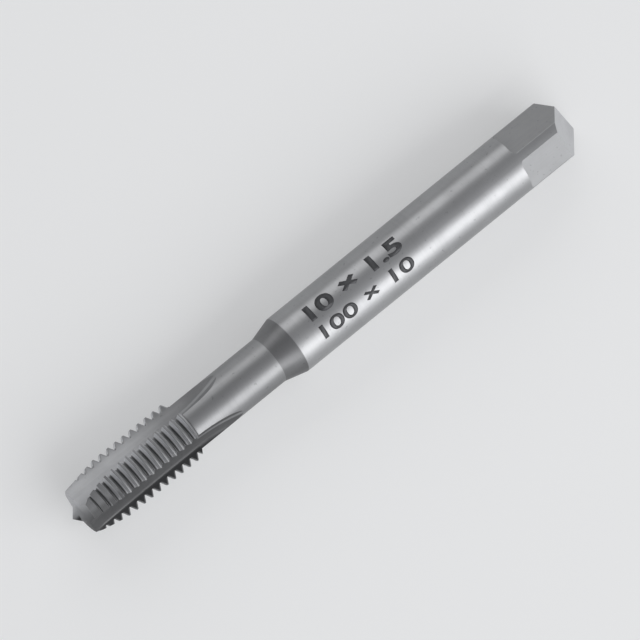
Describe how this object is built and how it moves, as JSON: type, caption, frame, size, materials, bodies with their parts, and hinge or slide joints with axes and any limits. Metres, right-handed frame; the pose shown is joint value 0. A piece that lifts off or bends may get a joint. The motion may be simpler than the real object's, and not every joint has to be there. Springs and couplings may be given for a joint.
{
  "type": "spiral point tap",
  "caption": "Machine tap with straight flutes ground back to a spiral point, a short tapered lead, a reduced neck, a plain round shank and a square drive end.",
  "frame": {"origin": "on the tool's axis, in the middle of the plain round shank", "axes": "+X along the axis towards the square drive end, so the cutting tip points to -X; +Z through the middle of one land, so the tool lies on its side with one flute facing down; +Y completes a right-handed frame"},
  "size_m": [0.1, 0.01, 0.01],
  "materials": {
    "ground_steel": "satin ground high speed steel, uncoated"
  },
  "bodies": {
    "root": {"spiral_point_tap": "ground_steel"}
  },
  "joints": []
}
